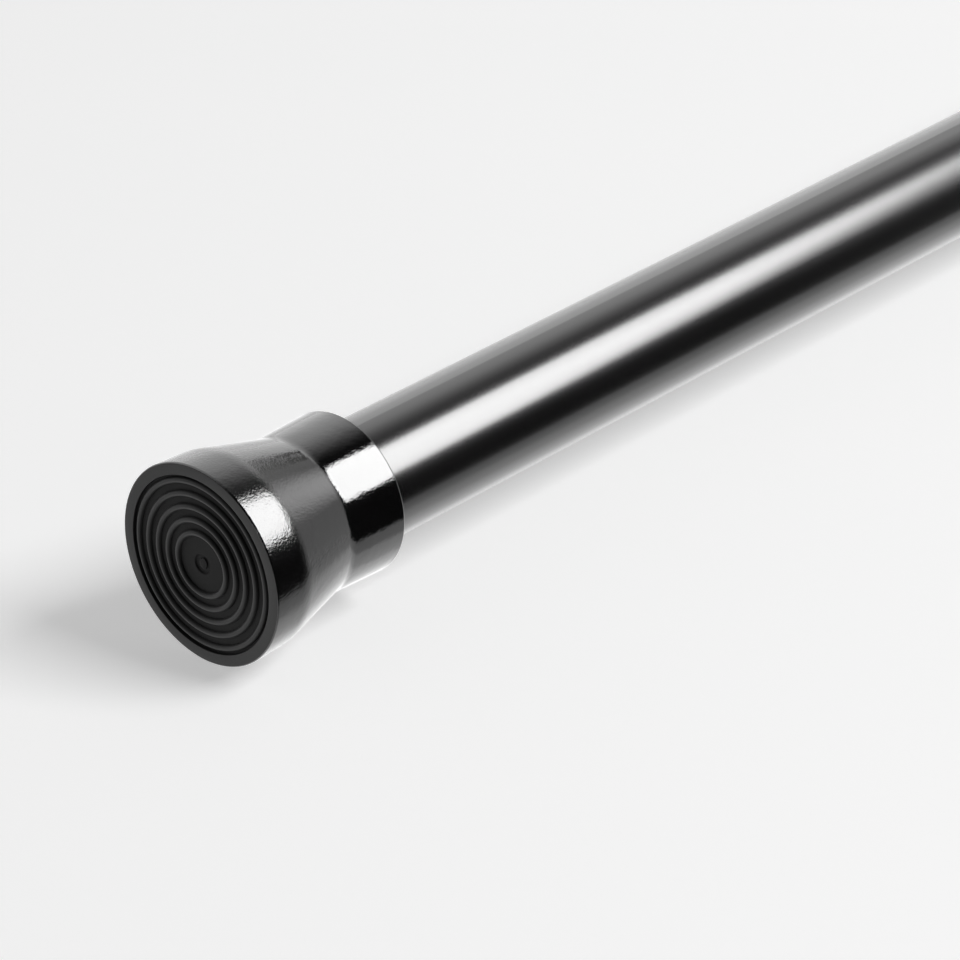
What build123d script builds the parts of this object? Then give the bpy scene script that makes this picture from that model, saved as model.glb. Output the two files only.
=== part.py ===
from build123d import *
import os

# A twist-lock, spring-tension cargo bar, closed to its shortest length.
# X runs along the bar from the near foot's face, which is at the origin. Z is up. Sizes are in millimetres.
os.makedirs("parts", exist_ok=True)

# Tubes. The outer tube and the foot sleeve are cut from the same stock.
tube_diameter = 25.4
tube_wall = 1.2
tube_length = 800.0
inner_diameter = 21.3
inner_wall = 1.2
inner_length = 900.0
sleeve_length = 110.0
closed_length = 1040.0

# A groove rolled into the outer tube, which the guide bush can't pass.
stop_groove_depth = 0.5
stop_groove_width = 6.0
stop_groove_from_mouth = 100.0

# Moulded foot: a short band behind the face, a cone, and from the neck a nearly straight collar round the tube.
foot_length = 38.0
foot_floor = 6.0
face_diameter = 41.3
face_edge_radius = 0.35
band_length = 8.4
band_taper = 0.3
shoulder_radius = 16.0
cone_end = 24.8
neck_diameter = 32.5
neck_radius = 9.0
collar_diameter = 33.6
collar_edge_radius = 0.35

# The rings on the face stand in a shallow recess, with their crests just below the rim.
ring_count = 5
ring_pitch = 2.63
inner_ring_radius = 6.4
ring_width = 1.3
ring_height = 0.5
ring_recess = 0.55
rim_inner_radius = 18.1
gate_dimple_radius = 2.1
gate_dimple_depth = 0.35
gate_nub_radius = 1.0
gate_nub_height = 0.3

# Nylon plug in the tube's end.
plug_flange = 2.0
plug_floor = 4.0
plug_stem = 18.0

# Nylon collar over a tube's mouth, with a felt ring in its lip.
collar_wall = 1.7
collar_skirt = 22.0
collar_lip = 6.0
collar_nose_radius = 1.4
collar_groove_count = 3
collar_groove_pitch = 4.0
collar_groove_width = 1.2
collar_groove_depth = 0.4
felt_groove_start = 1.5
felt_groove_end = 4.5
felt_outer_radius = 12.5

# Twist lock: the spindle's neck carries the guide bush, and its eccentric journal the cam ring.
spindle_plug = 30.0
spindle_flange = 2.5
neck_journal_radius = 6.0
guide_length = 16.0
guide_groove_count = 4
guide_groove_width = 4.0
guide_groove_depth = 1.0
eccentric = 0.9
cam_journal_radius = 5.0
cam_length = 14.0
cam_bore_gap = 0.72
cam_slot = 2.2
washer_radius = 8.0
washer_thickness = 1.0
screw_radius = 2.0
screw_length = 12.0
screw_head_radius = 4.0
screw_head_height = 2.8
screw_recess_width = 0.9
screw_recess_depth = 1.4

# Spring pins through the inner tube.
spring_pin_radius = 2.0
spring_pin_wall = 0.6
spring_pin_inset = 0.3
spindle_pin_from_end = 15.0

# Foot spring, its seat, and the rod that passes its push to the far foot.
foot_travel = 18.0
spring_length = 60.0
spring_wire = 1.8
spring_coil_radius = 7.2
spring_turns = 10
seat_length = 12.0
centring_radius = 5.0
centring_length = 5.0
rod_radius = 8.45
rod_shoulder_from_pin = 13.0
travel_pin_radius = 2.5
travel_pin_inset = 0.15
travel_pin_from_end = 27.0
end_bush_skirt = 12.0
end_bush_lip = 2.0
end_clearance = 2.0

# Fits, all radial unless they say otherwise.
press_gap = 0.03
running_gap = 0.08
free_gap = 0.3
slot_gap = 0.2
side_play = 0.2

# Radii and places that follow.
tube_radius = tube_diameter / 2
tube_bore = tube_radius - tube_wall
inner_radius = inner_diameter / 2
inner_bore = inner_radius - inner_wall
foot_bore = tube_radius + press_gap
lip_bore = inner_radius + free_gap

tube_start = foot_floor + plug_flange
tube_end = tube_start + tube_length
far_plug_face = closed_length - foot_floor
sleeve_end = far_plug_face - plug_flange
sleeve_start = sleeve_end - sleeve_length
inner_end = sleeve_end - plug_stem - foot_travel - end_clearance - end_bush_lip
inner_start = inner_end - inner_length

travel_pin_x = inner_end - travel_pin_from_end
rod_shoulder = travel_pin_x - rod_shoulder_from_pin
rod_end = far_plug_face - plug_floor
seat_face = rod_shoulder - spring_length
seat_pin_x = seat_face - seat_length / 2

spindle_pin_x = inner_start + spindle_pin_from_end
guide_end = inner_start - spindle_flange - side_play
guide_start = guide_end - guide_length
cam_end = guide_start - side_play
cam_start = cam_end - cam_length
journal_start = cam_start - side_play


def turned(outline):
    """A solid turned about the bar's axis from a closed outline of (x, radius) points."""
    return revolve(Plane.XZ * make_face(outline), Axis.X)


def bar(start, end, radius, bore=0.0):
    """A round bar along X, hollow if it has a bore."""
    length = end - start
    solid = Cylinder(radius, length, align=(Align.CENTER, Align.CENTER, Align.MIN))
    if bore:
        solid -= Cylinder(bore, length, align=(Align.CENTER, Align.CENTER, Align.MIN))
    return Pos(start, 0, 0) * Rot(0, 90, 0) * solid


def cross_hole(x, radius):
    """A drill along Z through the whole bar at x."""
    return Pos(x, 0, 0) * Cylinder(radius, 2 * tube_diameter)


def turned_round(solid, x):
    """The same moulding at x, facing the other way along the bar."""
    return Pos(x, 0, 0) * Rot(0, 0, 180) * solid


def foot():
    """The moulded foot, with its face at x = 0 and its mouth towards +X."""
    band_radius = face_diameter / 2
    outside = FilletPolyline(
        (0, rim_inner_radius),
        (0, band_radius),
        (band_length, band_radius - band_taper),
        (cone_end, neck_diameter / 2),
        (foot_length, collar_diameter / 2),
        (foot_length, foot_bore),
        radius=[face_edge_radius, shoulder_radius, neck_radius, collar_edge_radius],
    )
    inside = Polyline(
        (foot_length, foot_bore),
        (foot_floor, foot_bore),
        (foot_floor, 0),
        (ring_recess, 0),
        (ring_recess, rim_inner_radius),
        (0, rim_inner_radius),
    )
    solid = turned(outside + inside)
    for number in range(ring_count):
        solid += face_ring(inner_ring_radius + number * ring_pitch)
    dimple_floor = ring_recess + gate_dimple_depth
    solid -= bar(0, dimple_floor, gate_dimple_radius)
    return solid + bar(dimple_floor - gate_nub_height, dimple_floor + gate_nub_height, gate_nub_radius)


def face_ring(radius):
    """One rounded ring, rooted in the floor of the face's recess."""
    root = ring_recess + ring_height
    half_width = ring_width / 2
    crown = ThreePointArc(
        (ring_recess, radius - half_width),
        (ring_recess - ring_height, radius),
        (ring_recess, radius + half_width),
    )
    base = Polyline(
        (ring_recess, radius + half_width),
        (root, radius + half_width),
        (root, radius - half_width),
        (ring_recess, radius - half_width),
    )
    return turned(crown + base)


def plug():
    """The nylon plug, with its flange's bearing face at x = 0 and its cup open towards +X."""
    length = plug_flange + plug_stem
    solid = bar(0, plug_flange, tube_radius) + bar(0, length, tube_bore - press_gap)
    return solid - bar(plug_floor, length, rod_radius + press_gap)


def outer_tube():
    """Steel tube with the rolled stop groove, which keeps its wall as it dips."""
    groove = tube_end - stop_groove_from_mouth
    half_width = stop_groove_width / 2

    def skin(radius):
        dip = ThreePointArc(
            (groove - half_width, radius),
            (groove, radius - stop_groove_depth),
            (groove + half_width, radius),
        )
        before = Line((tube_start, radius), (groove - half_width, radius))
        after = Line((groove + half_width, radius), (tube_end, radius))
        return before + dip + after

    near_edge = Line((tube_start, tube_radius), (tube_start, tube_bore))
    mouth_edge = Line((tube_end, tube_radius), (tube_end, tube_bore))
    return turned(skin(tube_radius) + mouth_edge + skin(tube_bore) + near_edge)


def mouth_collar():
    """The collar on a tube's mouth: the tube ends at x = 0 and the collar's nose points towards +X."""
    outer_radius = tube_radius + press_gap + collar_wall
    outside = FilletPolyline(
        (-collar_skirt, tube_radius + press_gap),
        (-collar_skirt, outer_radius),
        (collar_lip, outer_radius),
        (collar_lip, lip_bore),
        radius=[collar_wall / 3, collar_nose_radius],
    )
    inside = Polyline(
        (collar_lip, lip_bore),
        (felt_groove_end, lip_bore),
        (felt_groove_end, felt_outer_radius),
        (felt_groove_start, felt_outer_radius),
        (felt_groove_start, lip_bore),
        (0, lip_bore),
        (0, tube_radius + press_gap),
        (-collar_skirt, tube_radius + press_gap),
    )
    solid = turned(outside + inside)
    middle = -collar_skirt / 2
    for number in range(collar_groove_count):
        start = middle + (number - collar_groove_count / 2) * collar_groove_pitch
        ring = bar(start, start + collar_groove_width, 2 * outer_radius, outer_radius - collar_groove_depth)
        solid -= ring
    return solid


def felt_ring():
    """The felt ring in the collar's groove."""
    bore = inner_radius + running_gap
    start = felt_groove_start + press_gap
    return bar(start, felt_groove_end - press_gap, felt_outer_radius - press_gap, bore)


def guide_bush():
    """Nylon bush on the spindle's neck, sliding in the outer tube, with grooves for the air to pass."""
    outer_radius = tube_bore - running_gap
    solid = bar(guide_start, guide_end, outer_radius, neck_journal_radius + running_gap)
    for place in PolarLocations(outer_radius, guide_groove_count):
        groove = Box(2 * guide_groove_depth, guide_groove_width, 2 * guide_length)
        solid -= Pos(guide_start, 0, 0) * Rot(0, 90, 0) * place * groove
    return solid


def lock_spindle():
    """Nylon spindle: a plug in the inner tube, a flange, the guide's neck and the eccentric journal."""
    plug_end = inner_start + spindle_plug
    flange_start = inner_start - spindle_flange
    solid = bar(inner_start, plug_end, inner_bore - press_gap)
    solid += bar(flange_start, inner_start, inner_radius)
    solid += bar(cam_end, flange_start, neck_journal_radius)
    solid += Pos(0, 0, eccentric) * bar(journal_start, cam_end, cam_journal_radius)
    solid -= bar(journal_start, journal_start + screw_length, screw_radius + press_gap)
    return solid - cross_hole(spindle_pin_x, spring_pin_radius + press_gap)


def cam_ring():
    """Split ring, round the bar's axis at rest, with its bore on the eccentric journal."""
    solid = bar(cam_start, cam_end, tube_bore - cam_bore_gap)
    solid -= Pos(0, 0, eccentric) * bar(cam_start, cam_end, cam_journal_radius + running_gap)
    middle = (cam_start + cam_end) / 2
    return solid - Pos(middle, 0, tube_bore) * Box(2 * cam_length, cam_slot, 2 * (tube_bore - cam_journal_radius))


def end_washer():
    """Steel washer on the end of the eccentric journal."""
    return bar(journal_start - washer_thickness, journal_start, washer_radius, screw_radius + press_gap)


def end_screw():
    """Pan-head screw with a cross recess."""
    seat = journal_start - washer_thickness
    top = seat - screw_head_height
    head = turned(
        FilletPolyline(
            (seat, 0),
            (seat, screw_head_radius),
            (top, screw_head_radius),
            (top, 0),
            (seat, 0),
            radius=[0, 0, screw_head_height / 2, 0],
        )
    )
    recess = Box(2 * screw_recess_depth, screw_recess_width, screw_head_radius)
    recess += Box(2 * screw_recess_depth, screw_head_radius, screw_recess_width)
    shank = bar(seat, journal_start + screw_length - 2 * side_play, screw_radius)
    return head - Pos(top, 0, 0) * recess + shank


def spring_pin(x):
    """Rolled steel spring pin across the inner tube, with its slit towards the near end."""
    length = inner_diameter - 2 * spring_pin_inset
    solid = Cylinder(spring_pin_radius, length) - Cylinder(spring_pin_radius - spring_pin_wall, length)
    slit = Pos(-spring_pin_radius, 0, 0) * Box(2 * spring_pin_radius, spring_pin_wall, length)
    return Pos(x, 0, 0) * (solid - slit)


def inner_tube():
    """Steel tube with its two pin holes and the pair of slots that the travel pin runs in."""
    solid = bar(inner_start, inner_end, inner_radius, inner_bore)
    for x in (spindle_pin_x, seat_pin_x):
        solid -= cross_hole(x, spring_pin_radius + press_gap)
    slot_radius = travel_pin_radius + slot_gap
    for x in (travel_pin_x - foot_travel, travel_pin_x):
        solid -= cross_hole(x, slot_radius)
    middle = travel_pin_x - foot_travel / 2
    return solid - Pos(middle, 0, 0) * Box(foot_travel, 2 * slot_radius, 2 * inner_diameter)


def spring_seat():
    """Nylon seat pinned across the inner tube, with a boss that centres the spring."""
    solid = bar(seat_face - seat_length, seat_face, inner_bore - press_gap)
    solid += bar(seat_face, seat_face + centring_length, centring_radius)
    return solid - cross_hole(seat_pin_x, spring_pin_radius + press_gap)


def foot_spring():
    """Compression spring between its seat and the push rod's shoulder."""
    height = spring_length - spring_wire - 2 * press_gap
    start = (seat_face + press_gap + spring_wire / 2, 0, 0)
    path = Helix(height / spring_turns, height, spring_coil_radius, center=start, direction=(1, 0, 0))
    section = Plane(origin=path @ 0, z_dir=path % 0) * Circle(spring_wire / 2)
    return sweep(section, path, is_frenet=True)


def inner_end_bush():
    """Nylon cap on the inner tube's end: it slides in the sleeve, and the push rod slides in it."""
    outer_radius = tube_bore - running_gap
    solid = bar(inner_end - end_bush_skirt, inner_end, outer_radius, inner_radius + press_gap)
    return solid + bar(inner_end, inner_end + end_bush_lip, outer_radius, rod_radius + running_gap)


def foot_sleeve():
    """Short steel tube that slides over the inner tube and carries the far foot."""
    solid = bar(sleeve_start, sleeve_end, tube_radius, tube_bore)
    return solid - cross_hole(travel_pin_x, travel_pin_radius + press_gap)


def push_rod():
    """Nylon rod seated in the far plug, with a nose that centres the spring."""
    solid = bar(rod_shoulder, rod_end, rod_radius)
    solid += bar(rod_shoulder - centring_length, rod_shoulder, centring_radius)
    return solid - cross_hole(travel_pin_x, travel_pin_radius + press_gap)


def travel_pin():
    """Solid steel pin through the sleeve and the push rod."""
    return Pos(travel_pin_x, 0, 0) * Cylinder(travel_pin_radius, tube_diameter - 2 * travel_pin_inset)


pieces = {
    "outer_tube": outer_tube(),
    "foot_near": foot(),
    "plug_near": Pos(foot_floor, 0, 0) * plug(),
    "mouth_collar": Pos(tube_end, 0, 0) * mouth_collar(),
    "mouth_ring": Pos(tube_end, 0, 0) * felt_ring(),
    "guide_bush": guide_bush(),
    "lock_spindle": lock_spindle(),
    "spindle_pin": spring_pin(spindle_pin_x),
    "cam_ring": cam_ring(),
    "end_washer": end_washer(),
    "end_screw": end_screw(),
    "inner_tube": inner_tube(),
    "spring_seat": spring_seat(),
    "seat_pin": spring_pin(seat_pin_x),
    "foot_spring": foot_spring(),
    "inner_end_bush": inner_end_bush(),
    "foot_sleeve": foot_sleeve(),
    "sleeve_collar": turned_round(mouth_collar(), sleeve_start),
    "sleeve_ring": turned_round(felt_ring(), sleeve_start),
    "push_rod": push_rod(),
    "travel_pin": travel_pin(),
    "plug_far": turned_round(plug(), far_plug_face),
    "foot_far": turned_round(foot(), closed_length),
}

for name, piece in pieces.items():
    export_step(piece, f"parts/{name}.step")
    print(name, round(piece.volume, 1))
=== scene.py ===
import bpy
from math import acos, asin, atan2, cos, pi, radians, sin, tan
from mathutils import Matrix, Vector


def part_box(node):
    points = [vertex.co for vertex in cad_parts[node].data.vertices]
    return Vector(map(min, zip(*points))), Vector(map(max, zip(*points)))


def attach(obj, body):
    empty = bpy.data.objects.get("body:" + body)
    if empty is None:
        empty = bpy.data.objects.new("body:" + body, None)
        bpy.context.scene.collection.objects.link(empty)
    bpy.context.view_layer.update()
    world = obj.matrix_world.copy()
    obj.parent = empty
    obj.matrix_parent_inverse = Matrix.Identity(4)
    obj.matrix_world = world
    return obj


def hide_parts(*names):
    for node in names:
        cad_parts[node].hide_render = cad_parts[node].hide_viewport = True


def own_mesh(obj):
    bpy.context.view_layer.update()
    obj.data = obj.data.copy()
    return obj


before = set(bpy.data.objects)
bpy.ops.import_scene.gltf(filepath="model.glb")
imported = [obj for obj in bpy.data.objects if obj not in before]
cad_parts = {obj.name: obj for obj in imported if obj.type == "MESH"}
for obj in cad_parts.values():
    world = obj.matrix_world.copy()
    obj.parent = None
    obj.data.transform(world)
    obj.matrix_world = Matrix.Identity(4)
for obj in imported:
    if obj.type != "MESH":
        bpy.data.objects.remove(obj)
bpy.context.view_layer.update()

# The camera looks down at the near foot from beyond its face, through a long lens, held level. The foot sits
# at the lower left, and the bar runs away to the upper right.
camera_heading = radians(42.41)  # from +X towards +Y
camera_elevation = radians(28.96)
face_depth, face_offset_left, face_offset_down = 0.7257, 0.0522, 0.01595
lens_per_sensor, sensor_width = 4.057, 36
level = cos(camera_elevation)
forward = Vector((level * cos(camera_heading), level * sin(camera_heading), -sin(camera_elevation)))
rightward = Vector((sin(camera_heading), -cos(camera_heading), 0))
downward = forward.cross(rightward)
camera_data = bpy.data.cameras.new("camera")
camera_data.sensor_width = sensor_width
camera_data.lens = sensor_width * lens_per_sensor
camera_data.clip_end = 50
camera = bpy.data.objects.new("camera", camera_data)
bpy.context.scene.collection.objects.link(camera)
place = -forward * face_depth + rightward * face_offset_left - downward * face_offset_down
turn_to_view = Matrix((rightward, -downward, -forward)).transposed()
camera.matrix_world = Matrix.Translation(place) @ turn_to_view.to_4x4()
bpy.context.scene.camera = camera
bpy.context.scene.view_settings.view_transform = "Standard"


# ---- Near foot ----
# One soft black PVC moulding, pressed over the tube's end. Its satin face has a flat rim, five rounded rings
# in a shallow recess, and the mark of the moulding gate in the middle. Behind the face come a short band, a
# cone, and a collar round the tube, all glossy.
class Wire:
    """One output of a node in a finish. Arithmetic on it adds a Math node and gives another Wire."""

    def __init__(self, finish, socket):
        self.finish = finish
        self.socket = socket

    def maths(self, operation, *values):
        return self.finish.node("ShaderNodeMath", {"operation": operation}, dict(enumerate(values)))

    def __add__(self, other):
        return self.maths("ADD", self, other)

    def __sub__(self, other):
        return self.maths("SUBTRACT", self, other)

    def __rsub__(self, other):
        return self.maths("SUBTRACT", other, self)

    def __mul__(self, other):
        return self.maths("MULTIPLY", self, other)

    __radd__ = __add__
    __rmul__ = __mul__

    def rise(self, low, high):
        """0 below low, 1 above high, and a smooth step between them."""
        values = {"Value": self, "From Min": low, "From Max": high}
        return self.finish.node("ShaderNodeMapRange", {"interpolation_type": "SMOOTHSTEP"}, values)


class Finish:
    """A material round one Principled BSDF, whose constants are set on the shader's own sockets."""

    def __init__(self, name, **constants):
        self.material = bpy.data.materials.new(name)
        self.material.use_nodes = True
        self.tree = self.material.node_tree
        self.shader = self.tree.nodes["Principled BSDF"]
        for socket, value in constants.items():
            self.shader.inputs[socket.replace("_", " ")].default_value = value

    def node(self, kind, settings=None, values=None, output=0):
        """Adds a node, makes its settings first, then fills its sockets with numbers or Wires."""
        node = self.tree.nodes.new(kind)
        for name, value in (settings or {}).items():
            setattr(node, name, value)
        for socket, value in (values or {}).items():
            if isinstance(value, Wire):
                self.tree.links.new(value.socket, node.inputs[socket])
            else:
                node.inputs[socket].default_value = value
        return Wire(self, node.outputs[output])

    def place(self):
        """The point's place on the bar, in metres."""
        return self.node("ShaderNodeTexCoord", output="Object")

    def along(self):
        """How far along the bar the point is."""
        return self.node("ShaderNodeSeparateXYZ", values={"Vector": self.place()})

    def grain(self, size, detail=2.0, stretch=(1, 1, 1)):
        """Noise from 0 to 1 whose lumps are about size metres across, drawn out where stretch is below 1."""
        spot = self.node("ShaderNodeMapping", values={"Vector": self.place(), "Scale": stretch})
        values = {"Vector": spot, "Scale": 1 / size, "Detail": detail}
        return self.node("ShaderNodeTexNoise", values=values)

    def blend(self, share, first, second):
        """A colour between two colours."""
        factor, colour_a, colour_b, colour_out = 0, 6, 7, 2
        values = {factor: share, colour_a: (*first, 1), colour_b: (*second, 1)}
        return self.node("ShaderNodeMix", {"data_type": "RGBA"}, values, colour_out)

    def relief(self, height, depth):
        """A bump from a height of 0 to 1 that stands for depth metres."""
        return self.node("ShaderNodeBump", values={"Height": height, "Distance": depth, "Strength": 1.0})

    def finish(self, **wires):
        """Links what varies over the surface, and gives the material."""
        for socket, wire in wires.items():
            self.tree.links.new(wire.socket, self.shader.inputs[socket.replace("_", " ")])
        return self.material


def rounded(corners, steps=7):
    """An outline through (x, radius of the piece, radius of the corner), with its corners as arcs."""
    outline = []
    for number, (x, r, radius) in enumerate(corners):
        here = Vector((x, r))
        if not radius:
            outline.append(here)
            continue
        back = (Vector(corners[number - 1][:2]) - here).normalized()
        ahead = (Vector(corners[number + 1][:2]) - here).normalized()
        half = acos(max(-1.0, min(1.0, back.dot(ahead)))) / 2
        centre = here + (back + ahead).normalized() * radius / sin(half)
        start = here + back * radius / tan(half) - centre
        end = here + ahead * radius / tan(half) - centre
        sweep = atan2(start.x * end.y - start.y * end.x, start.dot(end))
        for step in range(steps + 1):
            outline.append(centre + Matrix.Rotation(sweep * step / steps, 2) @ start)
    return [(point.x, point.y) for point in outline]


def turn_piece(name, outline, segments=160, smooth_below=32):
    """Turns a piece about the bar: a ring of points is drawn out along the outline and closed on itself."""
    x, radius = outline[0]
    bpy.ops.object.select_all(action="DESELECT")
    bpy.ops.mesh.primitive_circle_add(
        vertices=segments, radius=radius, location=(x, 0, 0), rotation=(0, pi / 2, 0)
    )
    piece = bpy.context.object
    piece.name = name
    bpy.ops.object.transform_apply(location=True, rotation=True, scale=True)
    bpy.ops.object.mode_set(mode="EDIT")
    bpy.ops.mesh.select_mode(type="EDGE")
    bpy.ops.mesh.select_all(action="SELECT")
    for next_x, next_radius in outline[1:]:
        bpy.ops.mesh.extrude_edges_move(TRANSFORM_OT_translate={"value": (next_x - x, 0, 0)})
        ratio = next_radius / radius
        bpy.ops.transform.resize(value=(1, ratio, ratio), center_override=(next_x, 0, 0))
        x, radius = next_x, next_radius
    bpy.ops.mesh.select_all(action="SELECT")
    bpy.ops.mesh.remove_doubles(threshold=1e-6)
    bpy.ops.mesh.fill_holes(sides=0)
    bpy.ops.mesh.select_all(action="SELECT")
    bpy.ops.mesh.normals_make_consistent(inside=False)
    bpy.ops.object.mode_set(mode="OBJECT")
    bpy.ops.object.shade_smooth_by_angle(angle=radians(smooth_below))
    return piece


def dress(piece, material):
    """Gives a piece its finish."""
    if piece.material_slots:
        for part in piece.material_slots:
            part.material = material
    else:
        piece.data.materials.append(material)


mm = 0.001
foot_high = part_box("foot_near")[1]
tube_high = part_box("outer_tube")[1]
face_radius = foot_high.z
foot_length = foot_high.x
tube_radius = tube_high.z
foot_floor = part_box("plug_near")[0].x


def foot_outline():
    """The foot's outline from the middle of the face, over the rim and back inside the mouth to the floor."""
    recess, rim = 0.7 * mm, 18.1 * mm
    first_ring, ring_pitch, ring_count = 6.4 * mm, 2.63 * mm, 5
    ring_half_width, ring_height, ring_root = 0.68 * mm, 0.65 * mm, 0.06 * mm
    dimple, dimple_depth, nub, nub_height = 2.1 * mm, 0.35 * mm, 1.0 * mm, 0.3 * mm
    pole = 0.02 * mm
    bottom = recess + dimple_depth
    outline = rounded(
        [
            (bottom - nub_height, pole, 0),
            (bottom - nub_height, nub, 0.2 * mm),
            (bottom, nub + 0.12 * mm, 0.1 * mm),
            (bottom, dimple - 0.2 * mm, 0.1 * mm),
            (recess, dimple, 0.12 * mm),
            (recess, dimple + 0.5 * mm, 0),
        ],
        steps=4,
    )
    crown_radius = (ring_half_width**2 + ring_height**2) / (2 * ring_height)
    crown_angle = asin(ring_half_width / crown_radius)
    crown_steps = 12
    for ring in range(ring_count):
        middle = first_ring + ring * ring_pitch
        outline.append((recess, middle - ring_half_width - ring_root))
        for step in range(crown_steps + 1):
            angle = crown_angle * (2 * step / crown_steps - 1)
            height = crown_radius * (cos(angle) - cos(crown_angle))
            outline.append((recess - height, middle + crown_radius * sin(angle)))
        if ring < ring_count - 1:
            outline.append((recess, middle + ring_half_width + ring_root))
    edge, band, band_taper, shoulder = 0.35 * mm, 8.2 * mm, 0.3 * mm, 14 * mm
    cone_end, neck, neck_curve = 24.2 * mm, 16.3 * mm, 7.5 * mm
    collar, collar_edge, bore = 16.8 * mm, 0.4 * mm, tube_radius + 0.03 * mm
    outline += rounded(
        [
            (recess, rim, 0),
            (0, rim + 0.06 * mm, 0.05 * mm),
            (0, face_radius, edge),
            (band, face_radius - band_taper, shoulder),
            (cone_end, neck, neck_curve),
            (foot_length, collar, collar_edge),
            (foot_length, bore + 0.3 * mm, 0),
            (foot_length - 0.3 * mm, bore, 0),
            (foot_floor, bore, 0),
            (foot_floor, pole, 0),
        ],
        steps=9,
    )
    return outline


def side_finish(name, face_x, towards_mouth):
    """The foot's glossy side, with an orange peel that fades towards the mouth."""
    paint = Finish(name, IOR=1.6)
    back = ((paint.along() - face_x) * towards_mouth).rise(7 * mm, 24 * mm)
    smudge = paint.grain(9 * mm, 3)
    peel = paint.grain(0.42 * mm, 2.5)
    wave = paint.grain(2.2 * mm, 1)
    roughness = 0.13 - 0.07 * back + 0.04 * smudge
    height = peel * (1.3 - 0.7 * back) + 0.9 * wave
    colour = paint.blend(smudge, (0.002, 0.002, 0.002), (0.004, 0.004, 0.0042))
    return paint.finish(Base_Color=colour, Roughness=roughness, Normal=paint.relief(height, 0.034 * mm))


def face_finish(name, face_x, towards_mouth):
    """The foot's satin face: painted shade makes it nearly black down in the recess, and a painted highlight
    makes the rim and the rings' crests greyer.
    """
    paint = Finish(name, IOR=1.27)
    # Mask of the rim and the rings' crests: it paints their highlight into the colour and makes them less
    # rough.
    crest_highlight_and_gloss = 1 - ((paint.along() - face_x) * towards_mouth).rise(0.05 * mm, 0.3 * mm)
    smudge = paint.grain(9 * mm, 3)
    blasted = paint.grain(0.22 * mm, 3)
    roughness = 0.34 + 0.08 * smudge + 0.35 * (1 - crest_highlight_and_gloss)
    # Painted shade and painted highlight: the colour is nearly black down in the recess and greyer on the rim
    # and the crests.
    colour = paint.blend(crest_highlight_and_gloss * 0.7 + 0.3 * smudge, (0.001, 0.001, 0.001), (0.014, 0.014, 0.014))
    return paint.finish(Base_Color=colour, Roughness=roughness, Normal=paint.relief(blasted, 0.016 * mm))


foot_near = turn_piece("foot_near_moulding", foot_outline())
bpy.ops.object.mode_set(mode="EDIT")
bpy.ops.mesh.select_mode(type="VERT")
bpy.ops.mesh.select_all(action="DESELECT")
bpy.ops.object.mode_set(mode="OBJECT")
nub_back, nub_reach = 0.87 * mm, 1.05 * mm
for point in foot_near.data.vertices:
    point.select = point.co.x < nub_back and Vector(point.co.yz).length < nub_reach
bpy.ops.object.mode_set(mode="EDIT")
bpy.ops.transform.resize(value=(1, 0.8, 1.15), center_override=(0, 0, 0))
bpy.ops.transform.translate(value=(0, -0.25 * mm, 0.15 * mm))
bpy.ops.object.mode_set(mode="OBJECT")
side_slot, face_slot = 0, 1
face_depth_limit, face_edge = 1.1 * mm, 0.25 * mm
foot_near.data.materials.append(side_finish("glossy_side_near", 0.0, 1.0))
foot_near.data.materials.append(face_finish("satin_face_near", 0.0, 1.0))
for face in foot_near.data.polygons:
    on_face = face.center.x < face_depth_limit and Vector(face.center.yz).length < face_radius - face_edge
    face.material_index = face_slot if on_face else side_slot
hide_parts("foot_near")
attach(foot_near, "outer_bar")


# ---- Outer tube ----
# Welded steel tube, 25.4 mm across, in a satin black powder coat. The rolled groove near its mouth stops the
# guide bush. The foot sleeve at the far end is cut from the same stock.
def coat_finish(name, roughness, wear):
    """Satin black coat: a fine, soft grain, faint drawing lines along the tube, and a little rubbed shine."""
    paint = Finish(name, IOR=1.6)
    grain = paint.grain(0.45 * mm, 2)
    cloud = paint.grain(14 * mm, 3, (0.35, 1, 1))
    drawn = paint.grain(1.1 * mm, 2, (0.02, 1, 1))
    rubbed = paint.grain(0.6 * mm, 3, (0.008, 1, 1)).rise(0.6, 0.75)
    rough = roughness + 0.03 * cloud + 0.02 * drawn - wear * rubbed
    colour = paint.blend(cloud * 0.6 + 0.4 * grain, (0.002, 0.002, 0.002), (0.004, 0.004, 0.0042))
    height = grain * 0.8 + 0.2 * drawn
    return paint.finish(Base_Color=colour, Roughness=rough, Normal=paint.relief(height, 0.006 * mm))


tube_coat = coat_finish("satin_black_coat", 0.195, 0.02)
dress(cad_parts["outer_tube"], tube_coat)


# ---- Plug in the tube's end ----
# Injection-moulded black nylon, pressed into the tube, with a flange that the foot's floor bears on.
def plastic_finish(name, dark, light, roughness, grain_size, grain_depth):
    """Moulded plastic: a fine even texture, with slight flow marks in its shade and shine."""
    paint = Finish(name, IOR=1.53)
    flow = paint.grain(6 * mm, 3, (0.4, 1, 1))
    texture = paint.grain(grain_size, 2)
    colour = paint.blend(flow * 0.7 + 0.3 * texture, dark, light)
    rough = roughness + 0.1 * flow + 0.06 * texture
    return paint.finish(Base_Color=colour, Roughness=rough, Normal=paint.relief(texture, grain_depth))


black_nylon = plastic_finish(
    "black_nylon", (0.012, 0.012, 0.012), (0.02, 0.02, 0.021), 0.38, 0.25 * mm, 0.01 * mm
)
dress(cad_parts["plug_near"], black_nylon)


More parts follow.
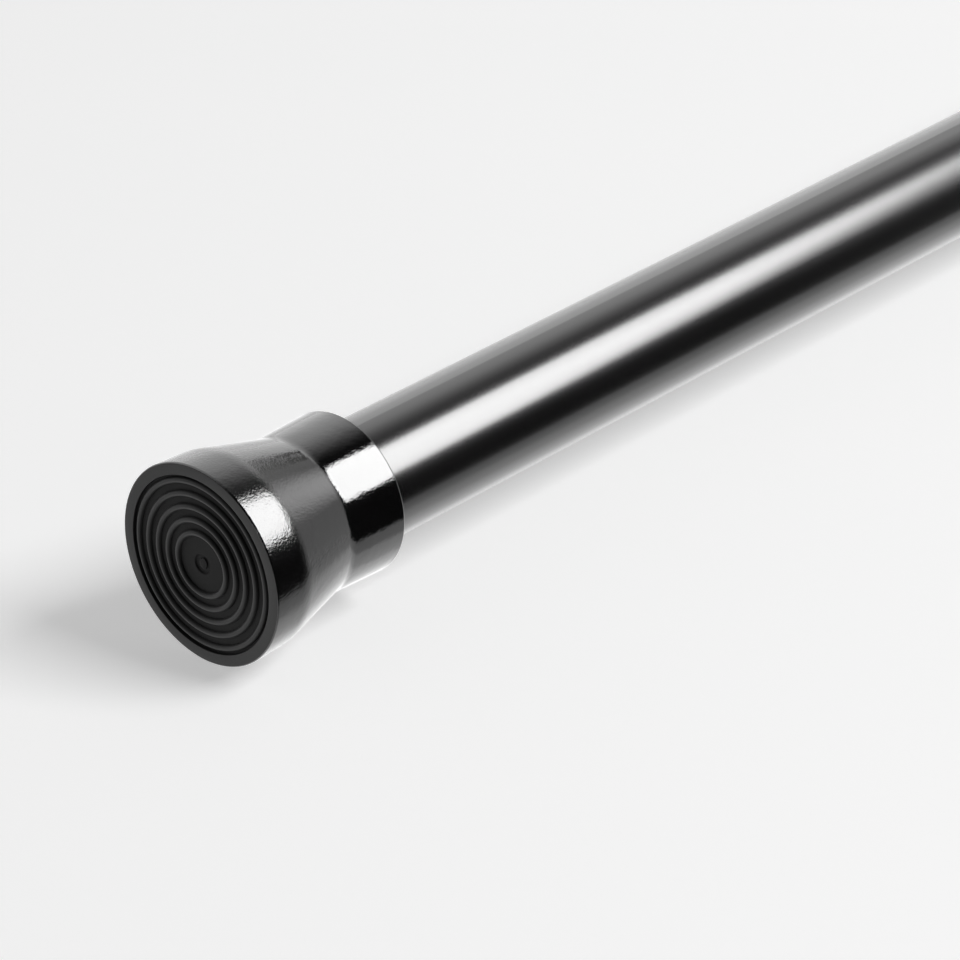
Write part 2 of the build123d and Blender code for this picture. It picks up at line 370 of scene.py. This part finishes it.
# ---- Collar and felt ring at the outer tube's mouth ----
# A black nylon collar is pressed over the tube's mouth. Its lip holds a felt ring that the inner tube slides
# through, so the bar doesn't rattle. Three grip grooves run round its skirt.
def collar_outline(tube_end, outward):
    """The collar's outline round the tube's end, with its lip pointing outward (1 or -1) along the bar."""
    bore = tube_radius + 0.03 * mm
    outside = bore + 1.7 * mm
    skirt, lip, lip_bore = 22 * mm, 6 * mm, 10.95 * mm
    felt_start, felt_end, felt_radius = 1.5 * mm, 4.5 * mm, 12.5 * mm
    groove_pitch, groove_width, groove_depth, groove_count = 4 * mm, 1.2 * mm, 0.4 * mm, 3
    corners = [(-skirt, bore + 0.2 * mm, 0), (-skirt, outside, 0.5 * mm)]
    for groove in range(groove_count):
        start = -skirt / 2 + (groove - groove_count / 2) * groove_pitch
        corners.append((start, outside, 0.15 * mm))
        corners.append((start + 0.15 * mm, outside - groove_depth, 0.15 * mm))
        corners.append((start + groove_width - 0.15 * mm, outside - groove_depth, 0.15 * mm))
        corners.append((start + groove_width, outside, 0.15 * mm))
    corners += [
        (lip, outside, 1.4 * mm),
        (lip, lip_bore, 0.35 * mm),
        (felt_end, lip_bore, 0),
        (felt_end, felt_radius, 0),
        (felt_start, felt_radius, 0),
        (felt_start, lip_bore, 0),
        (0, lip_bore, 0),
        (0, bore, 0),
        (-skirt + 0.2 * mm, bore, 0),
        (-skirt, bore + 0.2 * mm, 0),
    ]
    return [(tube_end + outward * x, radius) for x, radius in rounded(corners, steps=5)]


collar_nylon = plastic_finish(
    "textured_collar_nylon", (0.007, 0.007, 0.0075), (0.014, 0.014, 0.015), 0.33, 0.22 * mm, 0.016 * mm
)
mouth_collar = turn_piece("mouth_collar_moulding", collar_outline(tube_high.x, 1), segments=128)
dress(mouth_collar, collar_nylon)
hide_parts("mouth_collar")
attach(mouth_collar, "outer_bar")


def felt_finish():
    """Pressed grey wool felt: matted fibres in colour and relief."""
    paint = Finish("wool_felt", Roughness=0.95, Sheen_Weight=0.35)
    fibre = paint.grain(0.35 * mm, 6)
    fuzz = paint.grain(1.6 * mm, 3)
    colour = paint.blend(fibre * 0.7 + 0.3 * fuzz, (0.035, 0.035, 0.037), (0.11, 0.11, 0.115))
    return paint.finish(Base_Color=colour, Normal=paint.relief(fibre, 0.12 * mm))


wool_felt = felt_finish()
dress(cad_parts["mouth_ring"], wool_felt)


# ---- Twist lock ----
# A nylon spindle is pinned in the inner tube's end. Its neck turns in a bush that slides in the outer tube. A
# twist of the inner tube makes its eccentric journal throw a split ring of hard rubber against the bore.
natural_nylon = plastic_finish(
    "natural_nylon", (0.62, 0.59, 0.5), (0.74, 0.71, 0.62), 0.36, 0.3 * mm, 0.012 * mm
)
for node in ("guide_bush", "lock_spindle"):
    dress(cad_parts[node], natural_nylon)


def ring_rubber_finish():
    """Hard black rubber with a bloom of grey dust rubbed off the bore."""
    paint = Finish("hard_rubber", IOR=1.5)
    speck = paint.grain(0.4 * mm, 5)
    dust = paint.grain(3 * mm, 4).rise(0.45, 0.7)
    colour = paint.blend(dust * 0.5 + 0.3 * speck, (0.012, 0.012, 0.012), (0.05, 0.05, 0.052))
    rough = 0.6 + 0.25 * speck
    return paint.finish(Base_Color=colour, Roughness=rough, Normal=paint.relief(speck, 0.03 * mm))


dress(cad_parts["cam_ring"], ring_rubber_finish())


def steel_finish(name, dark, light, roughness, mark_size, stretch):
    """Bare or plated steel: fine marks of its making, and a slight mottle in its shine."""
    paint = Finish(name, Metallic=1.0)
    marks = paint.grain(mark_size, 3, stretch)
    mottle = paint.grain(2.5 * mm, 4)
    colour = paint.blend(mottle * 0.6 + 0.4 * marks, dark, light)
    rough = roughness + 0.12 * marks + 0.08 * mottle
    return paint.finish(Base_Color=colour, Roughness=rough, Normal=paint.relief(marks, 0.004 * mm))


zinc_plate = steel_finish(
    "bright_zinc_plate", (0.5, 0.51, 0.53), (0.68, 0.69, 0.72), 0.2, 0.3 * mm, (1, 1, 1)
)
pin_steel = steel_finish(
    "phosphated_pin_steel", (0.1, 0.1, 0.105), (0.2, 0.2, 0.205), 0.38, 0.3 * mm, (1, 1, 0.1)
)
for node in ("end_washer", "end_screw"):
    dress(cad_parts[node], zinc_plate)
for node in ("spindle_pin", "seat_pin"):
    dress(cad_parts[node], pin_steel)


# ---- Inner tube ----
# Steel tube, 21.3 mm across, that slides in the outer tube. It has the same black coat, but thinner, and the
# felt rings have polished it in long streaks.
dress(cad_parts["inner_tube"], coat_finish("rubbed_black_coat", 0.27, 0.1))


# ---- Foot spring and what it works on ----
# A compression spring of oiled music wire stands on a nylon seat pinned across the inner tube. It pushes a
# nylon rod, seated in the far plug, whose steel cross pin runs in the inner tube's slots.
spring_low, spring_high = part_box("foot_spring")
wire_radius = 0.9 * mm
coil_radius = spring_high.z - wire_radius
end_turns, free_turns, turn_steps, wire_sides = 1.25, 8, 28, 12


def coil_points():
    """The wire's centre line: closed turns at both ends and open turns between, spaced by a smooth law."""
    turns = 2 * end_turns + free_turns
    closed_pitch = 2.02 * wire_radius
    span = spring_high.x - spring_low.x - 2 * wire_radius
    open_pitch = (span - 2 * end_turns * closed_pitch) / free_turns
    x, points = spring_low.x + wire_radius, []
    total = round(turns * turn_steps)
    for step in range(total + 1):
        turn = step / turn_steps
        angle = 2 * pi * turn
        points.append(Vector((x, coil_radius * cos(angle), coil_radius * sin(angle))))
        is_open = end_turns <= turn < end_turns + free_turns
        x += (open_pitch if is_open else closed_pitch) / turn_steps
    return points


def draw_wire(name, points, radius, sides):
    """Draws a round wire through points: a disc is extruded from each to the next, and turned to follow."""
    bpy.ops.object.select_all(action="DESELECT")
    heading = (points[1] - points[0]).normalized()
    turned = heading.to_track_quat("Z", "X").to_euler()
    bpy.ops.mesh.primitive_circle_add(
        vertices=sides, radius=radius, fill_type="NGON", location=points[0], rotation=turned
    )
    piece = bpy.context.object
    piece.name = name
    bpy.ops.object.transform_apply(location=True, rotation=True, scale=True)
    bpy.ops.object.mode_set(mode="EDIT")
    bpy.ops.mesh.select_mode(type="FACE")
    bpy.ops.mesh.select_all(action="SELECT")
    turn_per_step = 2 * pi / turn_steps
    for here, there in zip(points, points[1:]):
        bpy.ops.mesh.extrude_region_move(TRANSFORM_OT_translate={"value": there - here})
        bpy.ops.transform.rotate(value=-turn_per_step, orient_axis="X", center_override=there)
    bpy.ops.mesh.select_all(action="SELECT")
    bpy.ops.mesh.normals_make_consistent(inside=False)
    bpy.ops.object.mode_set(mode="OBJECT")
    bpy.ops.object.shade_smooth_by_angle(angle=radians(50))
    return piece


music_wire = steel_finish(
    "oiled_music_wire", (0.2, 0.2, 0.21), (0.36, 0.35, 0.34), 0.26, 0.25 * mm, (1, 1, 1)
)
spring = draw_wire("foot_spring_coil", coil_points(), wire_radius, wire_sides)
dress(spring, music_wire)
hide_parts("foot_spring")
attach(spring, "inner_bar")
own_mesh(spring)
for node in ("spring_seat", "push_rod", "inner_end_bush"):
    dress(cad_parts[node], natural_nylon)
black_oxide = steel_finish(
    "black_oxide_steel", (0.025, 0.025, 0.027), (0.06, 0.06, 0.063), 0.3, 0.2 * mm, (1, 1, 1)
)
dress(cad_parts["travel_pin"], black_oxide)


# ---- Foot sleeve and far foot ----
# The sleeve slides over the inner tube with the same collar and felt ring as the outer tube's mouth. The far
# foot and its plug are the same mouldings as the near ones, turned round.
sleeve_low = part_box("foot_sleeve")[0]
bar_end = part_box("foot_far")[1].x
dress(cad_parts["foot_sleeve"], tube_coat)
dress(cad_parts["plug_far"], black_nylon)
dress(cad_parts["sleeve_ring"], wool_felt)


def turned_copy(piece, name, first, second):
    """A copy of a piece with its own mesh, turned end for end so that what was at first comes to second."""
    bpy.ops.object.select_all(action="DESELECT")
    copy = piece.copy()
    copy.data = piece.data.copy()
    copy.name = name
    copy.parent = None
    for key in list(copy.keys()):
        del copy[key]
    bpy.context.scene.collection.objects.link(copy)
    copy.matrix_world = Matrix.Translation((first + second, 0, 0)) @ Matrix.Rotation(pi, 4, "Z")
    copy.select_set(True)
    bpy.context.view_layer.objects.active = copy
    bpy.ops.object.transform_apply(location=True, rotation=True, scale=True)
    return copy


sleeve_collar = turned_copy(mouth_collar, "sleeve_collar_moulding", tube_high.x, sleeve_low.x)
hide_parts("sleeve_collar")
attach(sleeve_collar, "spring_foot")

foot_far = turned_copy(foot_near, "foot_far_moulding", 0.0, bar_end)
foot_far.material_slots[side_slot].material = side_finish("glossy_side_far", bar_end, -1.0)
foot_far.material_slots[face_slot].material = face_finish("satin_face_far", bar_end, -1.0)
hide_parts("foot_far")
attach(foot_far, "spring_foot")


# ---- Floor and light ----
# A plain pale table in front of a plain round wall. A long softbox high on the right makes the bar's
# highlight, a lamp beside it throws the shadow, and a tent of dim panels on the left and beyond the far end
# lights the coat.
floor_level = -face_radius
floor_reach, floor_split = 12.0, -0.048


def floor_finish():
    """Matt, nearly white paper with a light under it."""
    white, glow = (1, 1, 1, 1), 0.42
    paint = Finish(
        "pale_paper", Roughness=0.9, Specular_IOR_Level=0.1, Emission_Color=white, Emission_Strength=glow
    )
    fibre = paint.grain(1.5 * mm, 3)
    return paint.finish(Base_Color=paint.blend(fibre, (0.8, 0.8, 0.8), (0.812, 0.812, 0.812)))


def lay_floor(name, from_y, to_y, paper):
    """One sheet of the floor."""
    bpy.ops.object.select_all(action="DESELECT")
    bpy.ops.mesh.primitive_plane_add(size=1, location=(0, (from_y + to_y) / 2, floor_level))
    sheet = bpy.context.object
    sheet.name = name
    sheet.scale = (2 * floor_reach, to_y - from_y, 1)
    bpy.ops.object.transform_apply(location=True, rotation=True, scale=True)
    dress(sheet, paper)
    return sheet


paper = floor_finish()
lay_floor("floor_back", floor_split, floor_reach, paper)
front_sheet = lay_floor("floor_front", -floor_reach, floor_split, paper)
front_sheet.visible_glossy = False

# The wall is seen by the camera only, and throws no light or shadow on the bar.
wall_radius, wall_height = 11.5, 14.0
bpy.ops.object.select_all(action="DESELECT")
bpy.ops.mesh.primitive_cylinder_add(
    vertices=128, radius=wall_radius, depth=wall_height, end_fill_type="NOTHING",
    location=(0, 0, floor_level + wall_height / 2),
)
backdrop = bpy.context.object
backdrop.name = "backdrop"
bpy.ops.object.transform_apply(location=True, rotation=True, scale=True)
dress(backdrop, paper)
for ray in ("glossy", "diffuse", "transmission", "shadow"):
    setattr(backdrop, "visible_" + ray, False)


def add_panel(
    name, centre, facing, luminance, sizes, across=(1, 0, 0), shape="RECTANGLE", lights_floor=False
):
    """A light at centre that faces a point, its first side along across. Most only show in reflections."""
    light = bpy.data.lights.new(name, "AREA")
    light.shape = shape
    light.size, light.size_y = sizes
    area = sizes[0] * sizes[1] * (pi / 4 if shape == "ELLIPSE" else 1)
    light.energy = luminance * pi * area
    panel = bpy.data.objects.new(name, light)
    back = (Vector(centre) - Vector(facing)).normalized()
    side = Vector(across) - back * back.dot(Vector(across))
    side.normalize()
    turn = Matrix((side, back.cross(side), back)).transposed()
    panel.matrix_world = Matrix.Translation(centre) @ turn.to_4x4()
    panel.visible_camera = False
    panel.visible_glossy = not lights_floor
    panel.visible_diffuse = lights_floor
    bpy.context.scene.collection.objects.link(panel)


def add_strip(name, lean_from, lean_to, from_x, to_x, luminance, distance):
    """A light parallel to the bar that spans two leans, in degrees from straight up towards -Y."""
    lean = radians((lean_from + lean_to) / 2)
    width = 2 * distance * tan(radians(abs(lean_to - lean_from) / 2))
    middle = (from_x + to_x) / 2
    centre = (middle, -distance * sin(lean), distance * cos(lean))
    add_panel(name, centre, (middle, 0, 0), luminance, (to_x - from_x, width))


# The softbox narrows to a rounded tip beyond the foot, in three short strips.
key_distance, key_luminance = 1.5, 16.5
key_strips = {
    "key_softbox": (14, 64.8, 0.7, 1.6),
    "key_softbox_shoulder": (15, 58, 1.6, 1.7),
    "key_softbox_neck": (18, 48, 1.7, 1.78),
    "key_softbox_tip": (23, 38, 1.78, 1.84),
}
for name, (lean_from, lean_to, from_x, to_x) in key_strips.items():
    add_strip(name, lean_from, lean_to, from_x, to_x, key_luminance, key_distance)

# The tent's left side fades out towards the top.
tent_distance, tent_luminance = 2.0, 1.9
tent_from_x, tent_to_x, tent_bottom = -2.5, 3.0, -100
tent_fade_from, tent_fade_to, tent_strip = 5, -45, 5
add_strip("tent_side", tent_bottom, tent_fade_to, tent_from_x, tent_to_x, tent_luminance, tent_distance)
for lean in range(tent_fade_to, tent_fade_from, tent_strip):
    share = (tent_fade_from - lean - tent_strip / 2) / (tent_fade_from - tent_fade_to)
    smooth_share = share * share * (3 - 2 * share)
    luminance = tent_luminance * smooth_share
    add_strip(f"tent_strip_{lean}", lean, lean + tent_strip, tent_from_x, tent_to_x, luminance, tent_distance)

# Two panels and a round glow stand beyond the far end, for the cone. A small light glints on the face.
end_distance, end_height, end_panel_size_z, along_y = 5.0, 1.0, 6.0, (0, 1, 0)
end_panels = {"end_panel": (-0.85, 4.9, 0.88), "end_panel_left": (2.15, 1.1, 0.35)}
for name, (middle_y, width, luminance) in end_panels.items():
    panel_place = (end_distance, middle_y, end_height)
    add_panel(name, panel_place, (0, middle_y, end_height), luminance, (width, end_panel_size_z), along_y)
end_glow_place = (end_distance, -0.9, 2.15)
end_glow_sizes = {0.8: 2.2, 1.4: 2.0, 2.2: 1.5, 3.0: 0.7}
for size, luminance in end_glow_sizes.items():
    add_panel(f"end_glow_{size}", end_glow_place, (0, 0, 0), luminance, (size, size), along_y, "ELLIPSE")
glint_place, glint_luminance, glint_sizes = (-1.5, -0.12, 0.1), 12.0, (0.14, 0.3)
add_panel("front_glint", glint_place, (0, 0, 0), glint_luminance, glint_sizes, along_y)

# The table's own glow, which only the bar's reflections see, is stronger right under the bar.
glow_lift, glow_overhang = 0.2 * mm, 0.2
table_glows = {"table_glow": (-0.03, 0.7, 0.54), "table_glow_under": (-0.018, 0.045, 0.32)}
for name, (from_y, to_y, luminance) in table_glows.items():
    glow_place = (bar_end / 2, (from_y + to_y) / 2, floor_level + glow_lift)
    above = (glow_place[0], glow_place[1], 1)
    add_panel(name, glow_place, above, luminance, (bar_end + glow_overhang, to_y - from_y))

lamp_distance, lamp_size, lamp_luminance = 2.6, 1.3, 8.4
lamp_way = Vector((0.408, -0.591, 0.695))
lamp_place, lamp_sizes = lamp_way * lamp_distance, (lamp_size, lamp_size)
add_panel("shadow_lamp", lamp_place, (0, 0, 0), lamp_luminance, lamp_sizes, lights_floor=True)

# A dim, even fill from all round keeps the shadow soft.
fill_strength = 0.12
world = bpy.data.worlds.new("studio")
bpy.context.scene.world = world
world.use_nodes = True
world.node_tree.nodes["Background"].inputs["Color"].default_value = (1, 1, 1, 1)
world.node_tree.nodes["Background"].inputs["Strength"].default_value = fill_strength
world.cycles_visibility.glossy = False
